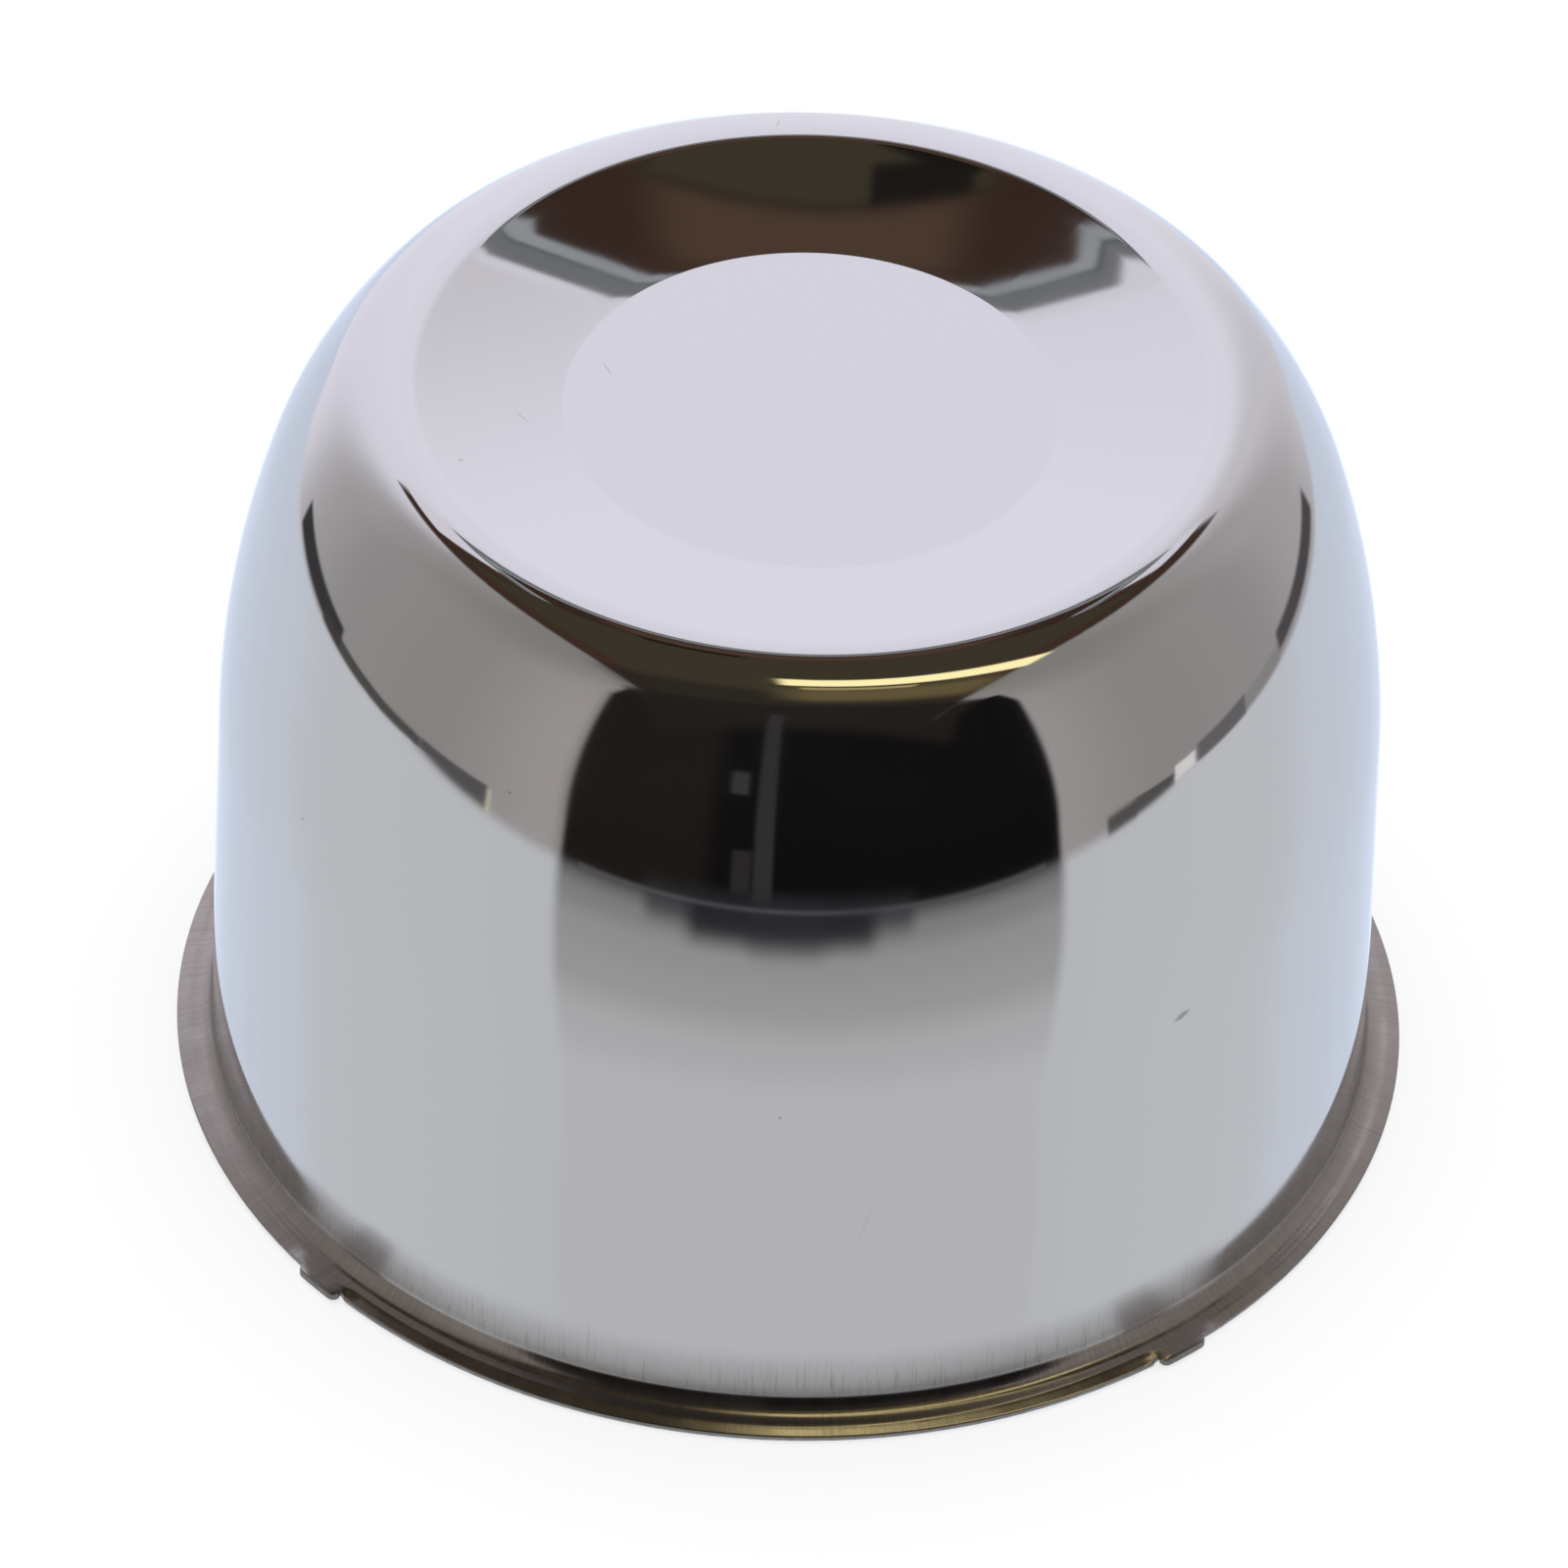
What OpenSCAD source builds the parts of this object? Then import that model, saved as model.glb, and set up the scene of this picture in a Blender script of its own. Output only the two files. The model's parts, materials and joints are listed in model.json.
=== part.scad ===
// Push-through center cap for a truck or trailer wheel.
// One stainless sheet, deep drawn into a dished cup, trimmed at its flange and polished.
// It goes through the wheel's bore from behind, until its flange meets the wheel's back face.
// The cap stands on its flange with the crown up: Z is its axis, and z = 0 is the lip's lower edge.

/* [Wheel bore] */
// Diameter of the bore that the cap goes through
bore_d = 107.95; // [80:0.05:140]
// Gap between the seat band and the bore, all round
seat_gap = 0.25; // [0.1:0.05:0.8]

/* [Shell] */
// Overall height, from the lip's lower edge to the top of the crown's ring
cap_h = 76.2; // [62:0.1:120]
// Thickness of the sheet
sheet_t = 0.8; // [0.5:0.05:1.2]
// Height where the upright seat band ends
seat_top = 8.5; // [5:0.5:12]
// Radius that turns the seat band into the leaning wall
seat_blend_r = 150; // [60:5:200]
// Lean of the wall from upright, in degrees
wall_lean = 1.5; // [0.5:0.1:3]

/* [Shoulder] */
// Radius of the long sweep above the straight wall
sweep_r = 89; // [60:1:95]
// Lean where the sweep becomes the shoulder, in degrees
sweep_end = 17.7; // [10:0.1:20]
// Radius of the shoulder
shoulder_r = 32.75; // [20:0.25:38]
// Lean where the shoulder becomes the nose, in degrees
shoulder_end = 38.9; // [30:0.1:50]
// Radius of the nose, up to the top of the ring
nose_r = 8.5; // [4:0.25:11]

/* [Crown] */
// Width of the dished slope, from the top of the ring to the flat disc
dish_w = 14.4; // [10:0.1:20]
// Depth of the flat disc below the top of the ring
dish_h = 3; // [1.5:0.1:6]
// Radius of the slope's slight hollow
slope_r = 200; // [60:5:400]
// Radius on the inner side of the ring
ring_r = 5.5; // [2:0.25:8]
// Radius of the crease round the disc
disc_crease_r = 0.8; // [0.4:0.1:3]

/* [Flange] */
// Width of the flange past the bore, all round
flange_w = 3.175; // [2.8:0.025:6]
// Radius of the corner between the seat band and the ledge
corner_r = 1.2; // [0.6:0.1:1.6]
// Width of the flat ledge
ledge_w = 0.3; // [0.2:0.05:1]
// Droop of the lip below level, in degrees
lip_droop = 22; // [10:1:35]
// Inside radius of the bend between the ledge and the lip
lip_bend_r = 0.3; // [0.1:0.05:0.8]

/* [Tabs] */
// Width of a tab along the lip
tab_w = 5; // [3:0.1:8]
// Reach of a tab past the lip
tab_reach = 1.15; // [0.5:0.05:3]
// Radius of a tab's outer corners
tab_corner_r = 1.6; // [0.3:0.1:2.4]
// Angle between the two tabs of a pair, in degrees
tab_pair_angle = 86.5; // [30:0.5:90]
// Radius of the relief nick beside a tab
nick_r = 0.45; // [0.2:0.05:0.8]

/* [Hidden] */
$fn = 96;

// Longest gap between a round stretch and the chords that draw it
chord_gap = 0.01;
// Overlap that lets a cut run clear of a face
past = 1;

// Flange, from the seat band outwards
seat_r = bore_d / 2 - seat_gap;
lip_r = bore_d / 2 + flange_w;
corner_x = seat_r + corner_r;
bend_x = corner_x + ledge_w;
bend_r = lip_bend_r + sheet_t;
lip_len = (lip_r - bend_x - bend_r * sin(lip_droop)) / cos(lip_droop);
ledge_z = bend_r * (1 - cos(lip_droop)) + lip_len * sin(lip_droop) + sheet_t * cos(lip_droop);

// Wall, from the seat band up to the start of the sweep: the straight part takes the height that is left
wall_foot = [seat_r - seat_blend_r, seat_top] + seat_blend_r * dir(wall_lean);
sweep_z = cap_h - nose_r * (1 - sin(shoulder_end))
    - shoulder_r * (sin(shoulder_end) - sin(sweep_end))
    - sweep_r * (sin(sweep_end) - sin(wall_lean));
wall_top = [wall_foot.x - (sweep_z - wall_foot.y) * tan(wall_lean), sweep_z];
sweep_c = wall_top - sweep_r * dir(wall_lean);
shoulder_c = sweep_c + (sweep_r - shoulder_r) * dir(sweep_end);
nose_c = shoulder_c + (shoulder_r - nose_r) * dir(shoulder_end);

// Crown: the slope is the arc of slope_r that touches the disc's crease and the ring's inner round
ring_c = [nose_c.x, cap_h - ring_r];
disc_z = cap_h - dish_h;
crease_c = [ring_c.x - dish_w, disc_z + disc_crease_r];
between = ring_c - crease_c;
to_crease = slope_r - disc_crease_r;
to_ring = slope_r + ring_r;
along = (to_crease ^ 2 - to_ring ^ 2 + norm(between) ^ 2) / (2 * norm(between));
aside = sqrt(to_crease ^ 2 - along ^ 2);
slope_c = crease_c + (along * between + aside * [-between.y, between.x]) / norm(between);
slope_start = 360 + atan2(crease_c.y - slope_c.y, crease_c.x - slope_c.x);
slope_end = 360 + atan2(ring_c.y - slope_c.y, ring_c.x - slope_c.x);

// Every bend of the sheet, from the axis to the rim, as seen in the section: its centre, the radius
// of the outer face, the directions where it starts and ends, and 1 if it bulges outwards or -1 if not
bends = [
    [crease_c, disc_crease_r, 270, slope_start, -1],
    [slope_c, slope_r, slope_start, slope_end, -1],
    [ring_c, ring_r, slope_end - 180, 90, 1],
    [nose_c, nose_r, 90, shoulder_end, 1],
    [shoulder_c, shoulder_r, shoulder_end, sweep_end, 1],
    [sweep_c, sweep_r, sweep_end, wall_lean, 1],
    [[seat_r - seat_blend_r, seat_top], seat_blend_r, wall_lean, 0, 1],
    [[corner_x, ledge_z + corner_r], corner_r, 180, 270, -1],
    [[bend_x, ledge_z - bend_r], bend_r, 90, 90 - lip_droop, 1],
];
lip_edge = [bend_x, ledge_z - bend_r] + bend_r * dir(90 - lip_droop) + lip_len * dir(-lip_droop);

// Tabs: a pair faces -Y and a pair faces +Y, and each tab has its nick on the side of its pair's middle
tab_r = lip_r + tab_reach;
tab_root = corner_x + ledge_w / 3;
tab_turns = [for (middle = [-90, 90], side = [-1, 1]) [middle + side * tab_pair_angle / 2, -side]];

// Unit vector at an angle
function dir(a) = [cos(a), sin(a)];

// Number of chords that keep a round stretch within chord_gap
function chords(r, turn) = max(1, ceil(abs(turn) / (2 * acos(1 - chord_gap / r))));

// Points along a round stretch about c, from direction a0 to a1
function arc(c, r, a0, a1, n) = [for (i = [0:n]) c + r * dir(a0 + (a1 - a0) * i / n)];

// Points of one bend, at a depth below the outer face
function bend_points(b, depth) =
    arc(b[0], b[1] - b[4] * depth, b[2], b[3], chords(b[1] + sheet_t, b[3] - b[2]));

// One face of the sheet, from the axis to the rim, at a depth below the outer face
function face_points(depth) = concat(
    [[0, disc_z - depth]],
    [for (b = bends) each bend_points(b, depth)],
    [lip_edge - depth * dir(90 - lip_droop)]
);

function reversed(list) = [for (i = [len(list) - 1:-1:0]) list[i]];

// Section of the drawn sheet: its outer face out to the rim, and its inner face back
module sheet_section() {
    polygon(concat(face_points(0), reversed(face_points(sheet_t))));
}

// The cup as drawn, dished and trimmed, before its tabs are pressed
module drawn_cup() {
    rotate_extrude() sheet_section();
}

// Plan of a tab along +X, with its two outer corners rounded
module tab_plan() {
    x = tab_r - tab_corner_r;
    y = tab_w / 2 - tab_corner_r;
    n = chords(tab_corner_r, 90);
    polygon(concat(
        [[tab_root, -tab_w / 2]],
        arc([x, -y], tab_corner_r, -90, 0, n),
        arc([x, y], tab_corner_r, 0, 90, n),
        [[tab_root, tab_w / 2]]
    ));
}

// A tab, pressed out level with the ledge
module tab() {
    translate([0, 0, ledge_z - sheet_t]) linear_extrude(sheet_t) tab_plan();
}

// The stretch of drooping lip that a tab takes the place of, with the nick on one side of it
module tab_window(nick_side) {
    translate([bend_x, -tab_w / 2, -past]) cube([tab_r + past - bend_x, tab_w, ledge_z + 2 * past]);
    translate([lip_r, nick_side * (tab_w / 2 + nick_r / 2), -past])
        cylinder(r = nick_r, h = ledge_z + 2 * past);
}

// The whole cap: one sheet
module cap_shell() {
    color("silver") union() {
        difference() {
            drawn_cup();
            for (t = tab_turns) rotate(t[0]) tab_window(t[1]);
        }
        for (t = tab_turns) rotate(t[0]) tab();
    }
}

cap_shell();
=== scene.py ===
"""Push-through center cap: one drawn, polished stainless sheet with a brushed flange, on a pale floor."""
import json
import logging
import math
from dataclasses import dataclass, field
from enum import Enum, IntEnum
from typing import Any, Callable, Sequence

import bmesh
import bpy
from mathutils import Euler, Matrix, Vector

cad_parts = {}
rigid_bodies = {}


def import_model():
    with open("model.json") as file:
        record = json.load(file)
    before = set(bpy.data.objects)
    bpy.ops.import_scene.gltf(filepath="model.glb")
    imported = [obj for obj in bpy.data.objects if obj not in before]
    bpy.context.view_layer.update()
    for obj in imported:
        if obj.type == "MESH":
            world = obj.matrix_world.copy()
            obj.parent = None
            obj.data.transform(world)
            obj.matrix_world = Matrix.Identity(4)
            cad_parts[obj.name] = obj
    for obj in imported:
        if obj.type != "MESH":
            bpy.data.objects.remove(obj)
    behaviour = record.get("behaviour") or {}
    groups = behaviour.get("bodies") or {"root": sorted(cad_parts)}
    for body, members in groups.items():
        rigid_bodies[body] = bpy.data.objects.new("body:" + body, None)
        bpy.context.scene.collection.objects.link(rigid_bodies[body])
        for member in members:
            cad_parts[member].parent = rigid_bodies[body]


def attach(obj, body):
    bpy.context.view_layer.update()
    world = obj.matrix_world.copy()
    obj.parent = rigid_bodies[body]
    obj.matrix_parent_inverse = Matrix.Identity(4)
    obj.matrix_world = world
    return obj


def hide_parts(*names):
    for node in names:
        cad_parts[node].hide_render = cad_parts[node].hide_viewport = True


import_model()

log = logging.getLogger("center_cap")

MM = 0.001
# The photograph shows the cap turned this far about its axis, from where its front tabs face the camera.
CAP_TURN = math.radians(3.45)

# Two places closer than this are the same.
NEAR = 1e-6

Settings = dict[str, Any]
SMOOTH: Settings = {"interpolation_type": "SMOOTHSTEP"}
COLOUR: Settings = {"data_type": "RGBA"}
# A noise texture's values lie mostly in this range.
NOISE_SPAN: Settings = {"From_Min": 0.3, "From_Max": 0.7}


def sin(angle: float) -> float:
    """Sine of an angle in degrees."""
    return math.sin(math.radians(angle))


def cos(angle: float) -> float:
    """Cosine of an angle in degrees."""
    return math.cos(math.radians(angle))


def linear(code: str) -> tuple[float, float, float, float]:
    """Turns an sRGB hex colour to linear light.

    Args:
        code: The colour, such as "d9d8db".

    Returns:
        Red, green, blue and an alpha of 1, as Blender's colour sockets take them.
    """
    steps = [int(code[i:i + 2], 16) / 255 for i in (0, 2, 4)]
    light = [s / 12.92 if s <= 0.04045 else ((s + 0.055) / 1.055) ** 2.4 for s in steps]
    return (light[0], light[1], light[2], 1.0)


def add_node(
    tree: bpy.types.NodeTree,
    kind: str,
    settings: Settings | None = None,
    **sockets: Any,
) -> bpy.types.Node:
    """Adds a node, and gives it its settings, its values and its links.

    Args:
        tree: The node tree.
        kind: The node's type, such as "ShaderNodeMath".
        settings: Properties of the node itself, such as its operation.
        **sockets: Inputs, as i0 for the first input or as the input's name with _ for a space. A value is
            a number, a colour, an output to link from, or a node to link from its first output.

    Returns:
        The new node.
    """
    node = tree.nodes.new(kind)
    for name, value in (settings or {}).items():
        setattr(node, name, value)
    for name, value in sockets.items():
        by_number = name[0] == "i" and name[1:].isdigit()
        socket = node.inputs[int(name[1:]) if by_number else name.replace("_", " ")]
        if isinstance(value, bpy.types.Node):
            value = value.outputs[0]
        if isinstance(value, bpy.types.NodeSocket):
            tree.links.new(value, socket)
        else:
            socket.default_value = value
    return node


def start_metal(name: str) -> tuple[bpy.types.Material, bpy.types.NodeTree, bpy.types.Node]:
    """Starts a metal's material.

    Args:
        name: The material's name.

    Returns:
        The material, its node tree, and its shader, which is set to metallic.
    """
    made = bpy.data.materials.new(name)
    made.use_nodes = True
    shader = made.node_tree.nodes["Principled BSDF"]
    shader.inputs["Metallic"].default_value = 1.0
    return made, made.node_tree, shader


def select_none() -> None:
    """Deselects every object, because loading the frame leaves the CAD nodes selected."""
    for thing in bpy.context.view_layer.objects:
        thing.select_set(False)


def edit(piece: bpy.types.Object) -> None:
    """Opens a piece in edit mode."""
    bpy.context.view_layer.objects.active = piece
    bpy.ops.object.mode_set(mode="EDIT")


class Part(Enum):
    """What a selection is made of."""

    VERTEX = "VERT"
    EDGE = "EDGE"
    FACE = "FACE"


def pick(piece: bpy.types.Object, part: Part, wanted: Callable[[Any], bool]) -> None:
    """Selects the vertices, edges or faces that a test holds for, and nothing else.

    Args:
        piece: The object in edit mode.
        part: What to select.
        wanted: The test, which is given one vertex, edge or face.
    """
    bpy.ops.mesh.select_mode(type=part.value)
    bpy.ops.mesh.select_all(action="DESELECT")
    mesh = bmesh.from_edit_mesh(piece.data)
    for item in {Part.VERTEX: mesh.verts, Part.EDGE: mesh.edges, Part.FACE: mesh.faces}[part]:
        if wanted(item):
            item.select_set(True)
    mesh.select_flush_mode()
    bmesh.update_edit_mesh(piece.data)


def around(place: Vector) -> float:
    """Angle of a point about the cap's axis, in degrees from 0 to 360."""
    return math.degrees(math.atan2(place.y, place.x)) % 360


def out(place: Vector) -> float:
    """Distance of a point from the cap's axis."""
    return math.hypot(place.x, place.y)


class Side(IntEnum):
    """Material slots of the shell, in their order."""

    POLISHED = 0
    INSIDE = 1
    CUT_EDGE = 2
    FLANGE = 3


# A scuff above this height, in millimetres, lies on the crown.
CROWN_FROM = 73


@dataclass(frozen=True)
class Scuff:
    """One small scratch or pit in the polish.

    Attributes:
        place: Where it lies, in millimetres.
        length: Its length in millimetres.
        width: Its width in millimetres.
        turn: Its turn from level, in degrees, as seen from outside.
    """

    place: tuple[float, float, float]
    length: float
    width: float
    turn: float

    def turned(self) -> Euler:
        """Finds how the scuff is turned.

        Returns:
            The turn that lays X along the scuff and Z out of the surface that it lies on.
        """
        x, y, z = self.place
        level = Vector((-y, x, 0)).normalized()
        facing = Vector((0, 0, 1)) if z > CROWN_FROM else Vector((x, y, 0)).normalized()
        along = cos(self.turn) * level + sin(self.turn) * facing.cross(level)
        return Matrix((along, facing.cross(along), facing)).transposed().to_euler()


@dataclass(frozen=True)
class PolishedStainless:
    """Austenitic stainless sheet, drawn and then buffed to a mirror.

    The buffing leaves a sharp, slightly cool reflection with a faint haze, hairline scratches that the
    wheel missed, and, at the foot of the wall where the wheel can't reach, the drawing die's upright lines.
    """

    reflectance: str = "dcdbde"
    streak: str = "c4c2c0"
    scuff: str = "b3b1b0"
    roughness: float = 0.045
    # The haze lies in clouds about 17 mm wide.
    haze_w: float = 50 * MM / 3
    # The die's lines are about 0.25 mm apart and 6 mm long. They start at the first height above the lip's
    # lower edge, and are all there at the second.
    line_pitch: float = 0.25 * MM
    line_length: float = 6 * MM
    line_heights: tuple[float, float] = (11 * MM, 3 * MM)
    # A line starts to show where the noise is above the first level, and is full at the second. The gain is
    # how much the noise rises towards the lip, which brings more lines out.
    line_levels: tuple[float, float] = (0.61, 0.86)
    line_gain: float = 0.1
    # How much duller a line and a scuff are than the polish
    line_dull: float = 0.06
    scuff_dull: float = 0.3
    # The foot of the wall is this much duller, from the first height down to the second.
    foot_dull: float = 0.27
    foot_heights: tuple[float, float] = (9.5 * MM, 6 * MM)
    # The wheel reaches the foot better at the cap's sides, up to the first distance from the middle.
    side_share: float = 0.3
    side_depths: tuple[float, float] = (33 * MM, 36.5 * MM)
    # The scuffs that the photograph shows: where each lies, how long and wide it is and how it is turned
    scuffs: tuple[Scuff, ...] = (
        Scuff((37.1, -37.8, 38.0), 2.4, 1.0, 15),
        Scuff((-6.2, 37.1, 76.1), 1.4, 0.14, 70),
        Scuff((-22.5, -43.2, 62.9), 0.5, 0.35, 0),
        Scuff((-42.0, -31.0, 47.2), 0.5, 0.3, 0),
        Scuff((-25.4, -5.2, 74.0), 2.2, 0.12, 35),
        Scuff((-18.6, 3.3, 73.2), 2.6, 0.12, 40),
        Scuff((-30.0, -13.7, 75.5), 0.7, 0.3, 80),
        Scuff((2.7, -53.0, 36.0), 0.4, 0.3, 0),
        Scuff((10.6, -52.3, 23.4), 7.0, 0.04, 75),
    )

    def scuffed(self, tree: bpy.types.NodeTree, place: Any) -> bpy.types.NodeSocket:
        """Adds the scuffs' mask.

        Args:
            tree: The node tree.
            place: The output that gives the place on the cap.

        Returns:
            An output that is 1 in the middle of a scuff and 0 off them.
        """
        worst: Any = 0.0
        for scuff in self.scuffs:
            near = add_node(
                tree, "ShaderNodeMapping", {"vector_type": "TEXTURE"}, i0=place,
                Location=[c * MM for c in scuff.place], Rotation=scuff.turned(),
                Scale=(scuff.length / 2 * MM, scuff.width / 2 * MM, 3 * MM))
            off = add_node(tree, "ShaderNodeVectorMath", {"operation": "LENGTH"}, i0=near).outputs["Value"]
            mark = add_node(tree, "ShaderNodeMapRange", SMOOTH, Value=off, From_Min=1.0, From_Max=0.3)
            worst = add_node(tree, "ShaderNodeMath", {"operation": "MAXIMUM"}, i0=worst, i1=mark)
        return worst.outputs[0]

    def material(self) -> bpy.types.Material:
        """Builds the material.

        Returns:
            A mirror-like metal with upright lines near the flange.
        """
        made, tree, shader = start_metal("polished_stainless_steel")
        place = add_node(tree, "ShaderNodeTexCoord").outputs["Object"]
        parts = add_node(tree, "ShaderNodeSeparateXYZ", i0=place)
        fine = add_node(
            tree, "ShaderNodeMapping", i0=place,
            Scale=(1 / self.line_pitch, 1 / self.line_pitch, 1 / self.line_length))
        lines = add_node(tree, "ShaderNodeTexNoise", Vector=fine, Scale=1.0, Detail=2.0, Roughness=0.6)
        low = add_node(
            tree, "ShaderNodeMapRange", SMOOTH, Value=parts.outputs["Z"],
            From_Min=self.line_heights[0], From_Max=self.line_heights[1])
        denser = add_node(
            tree, "ShaderNodeMath", {"operation": "MULTIPLY_ADD"}, i0=low, i1=self.line_gain, i2=lines)
        marked = add_node(
            tree, "ShaderNodeMapRange", SMOOTH, Value=denser,
            From_Min=self.line_levels[0], From_Max=self.line_levels[1])
        foot = add_node(tree, "ShaderNodeMath", {"operation": "MULTIPLY"}, i0=low, i1=marked)
        scuffs = self.scuffed(tree, place)

        cloud = add_node(tree, "ShaderNodeTexNoise", Vector=place, Scale=1 / self.haze_w, Detail=3.0)
        rough = add_node(
            tree, "ShaderNodeMapRange", Value=cloud, **NOISE_SPAN,
            To_Min=self.roughness * 0.7, To_Max=self.roughness * 1.4)
        dull = add_node(
            tree, "ShaderNodeMapRange", SMOOTH, Value=parts.outputs["Z"],
            From_Min=self.foot_heights[0], From_Max=self.foot_heights[1], To_Max=self.foot_dull)
        depth = add_node(tree, "ShaderNodeMath", {"operation": "ABSOLUTE"}, i0=parts.outputs["Y"])
        reached = add_node(
            tree, "ShaderNodeMapRange", Value=depth,
            From_Min=self.side_depths[0], From_Max=self.side_depths[1], To_Min=self.side_share)
        for mask, gain in ((foot, self.line_dull), (dull, reached), (scuffs, self.scuff_dull)):
            rough = add_node(
                tree, "ShaderNodeMath", {"operation": "MULTIPLY_ADD"}, i0=mask, i1=gain, i2=rough)
        tree.links.new(rough.outputs[0], shader.inputs["Roughness"])
        relief = add_node(tree, "ShaderNodeBump", Strength=0.15, Distance=0.02 * MM, Height=foot)
        tree.links.new(relief.outputs[0], shader.inputs["Normal"])

        tone: Any = linear(self.reflectance)
        for mask, code in ((foot, self.streak), (scuffs, self.scuff)):
            tone = add_node(
                tree, "ShaderNodeMix", COLOUR, Factor=mask, A=tone, B=linear(code)).outputs["Result"]
        tree.links.new(tone, shader.inputs["Base Color"])
        return made


@dataclass(frozen=True)
class BrushedFlange:
    """The same sheet at the flange, where the blank holder and an abrasive belt left it dull.

    It reflects softly and a little darker and warmer than the mirror, with fine lines that run outwards.
    """

    reflectance: str = "ada6a2"
    roughness: float = 0.17
    # The belt's marks lie in clouds about 3 mm wide.
    cloud_w: float = 20 * MM / 7
    # The lines are about 0.3 mm apart round the rim.
    line_pitch: float = 0.3 * MM
    rim: float = 57 * MM
    # The belt leaves the cap's sides this many times coarser, up to the first distance from the middle.
    coarse: float = 1.8
    coarse_depths: tuple[float, float] = (36 * MM, 46 * MM)

    def material(self) -> bpy.types.Material:
        """Builds the material.

        Returns:
            A satin metal with lines that point away from the axis.
        """
        made, tree, shader = start_metal("brushed_stainless_steel")
        place = add_node(tree, "ShaderNodeTexCoord").outputs["Object"]
        flat = add_node(tree, "ShaderNodeVectorMath", {"operation": "MULTIPLY"}, i0=place, i1=(1, 1, 0))
        heading = add_node(tree, "ShaderNodeVectorMath", {"operation": "NORMALIZE"}, i0=flat)
        lines = add_node(
            tree, "ShaderNodeTexNoise", Vector=heading, Scale=self.rim / self.line_pitch,
            Detail=3.0, Roughness=0.7)
        shade = add_node(
            tree, "ShaderNodeMapRange", Value=lines, **NOISE_SPAN, To_Min=0.85, To_Max=1.08)
        tone = add_node(
            tree, "ShaderNodeMix", {**COLOUR, "blend_type": "MULTIPLY"},
            Factor=1.0, A=linear(self.reflectance), B=shade)
        tree.links.new(tone.outputs["Result"], shader.inputs["Base Color"])

        cloud = add_node(tree, "ShaderNodeTexNoise", Vector=place, Scale=1 / self.cloud_w, Detail=3.0)
        rough = add_node(
            tree, "ShaderNodeMapRange", Value=cloud, **NOISE_SPAN,
            To_Min=self.roughness * 0.8, To_Max=self.roughness * 1.25)
        parts = add_node(tree, "ShaderNodeSeparateXYZ", i0=place)
        depth = add_node(tree, "ShaderNodeMath", {"operation": "ABSOLUTE"}, i0=parts.outputs["Y"])
        coarser = add_node(
            tree, "ShaderNodeMapRange", SMOOTH, Value=depth,
            From_Min=self.coarse_depths[0], From_Max=self.coarse_depths[1], To_Min=self.coarse)
        rough = add_node(tree, "ShaderNodeMath", {"operation": "MULTIPLY"}, i0=rough, i1=coarser)
        tree.links.new(rough.outputs[0], shader.inputs["Roughness"])
        relief = add_node(tree, "ShaderNodeBump", Strength=0.15, Distance=0.02 * MM, Height=lines)
        tree.links.new(relief.outputs[0], shader.inputs["Normal"])
        return made


@dataclass(frozen=True)
class DrawnInside:
    """The inner face of the sheet, which nobody polishes: satin, with the punch's upright drawing lines.

    The lines are about 0.5 mm apart and 18 mm long.
    """

    reflectance: str = "b4b1ae"
    roughness: float = 0.36
    line_pitch: float = 0.5 * MM
    line_length: float = 18 * MM

    def material(self) -> bpy.types.Material:
        """Builds the material.

        Returns:
            A satin metal with upright lines.
        """
        made, tree, shader = start_metal("drawn_stainless_steel")
        place = add_node(tree, "ShaderNodeTexCoord").outputs["Object"]
        fine = add_node(
            tree, "ShaderNodeMapping", i0=place,
            Scale=(1 / self.line_pitch, 1 / self.line_pitch, 1 / self.line_length))
        lines = add_node(tree, "ShaderNodeTexNoise", Vector=fine, Scale=1.0, Detail=4.0, Roughness=0.6)
        shade = add_node(
            tree, "ShaderNodeMapRange", Value=lines, **NOISE_SPAN, To_Min=0.82, To_Max=1.08)
        tone = add_node(
            tree, "ShaderNodeMix", {**COLOUR, "blend_type": "MULTIPLY"},
            Factor=1.0, A=linear(self.reflectance), B=shade)
        tree.links.new(tone.outputs["Result"], shader.inputs["Base Color"])
        rough = add_node(
            tree, "ShaderNodeMapRange", Value=lines, **NOISE_SPAN,
            To_Min=self.roughness * 0.85, To_Max=self.roughness * 1.2)
        tree.links.new(rough.outputs[0], shader.inputs["Roughness"])
        relief = add_node(tree, "ShaderNodeBump", Strength=0.4, Distance=0.03 * MM, Height=lines)
        tree.links.new(relief.outputs[0], shader.inputs["Normal"])
        return made


@dataclass(frozen=True)
class ShearedEdge:
    """The trimmed edge of the sheet: half bright from the shear and half torn, so duller and uneven."""

    reflectance: str = "87847f"
    roughness: float = 0.34
    # The torn patches are about this wide.
    patch_w: float = MM / 1.5

    def material(self) -> bpy.types.Material:
        """Builds the material.

        Returns:
            A dull metal with small uneven patches.
        """
        made, tree, shader = start_metal("sheared_stainless_steel")
        shader.inputs["Base Color"].default_value = linear(self.reflectance)
        place = add_node(tree, "ShaderNodeTexCoord").outputs["Object"]
        torn = add_node(tree, "ShaderNodeTexNoise", Vector=place, Scale=1 / self.patch_w, Detail=2.0)
        rough = add_node(
            tree, "ShaderNodeMapRange", Value=torn, **NOISE_SPAN,
            To_Min=self.roughness * 0.7, To_Max=self.roughness * 1.5)
        tree.links.new(rough.outputs[0], shader.inputs["Roughness"])
        return made


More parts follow.
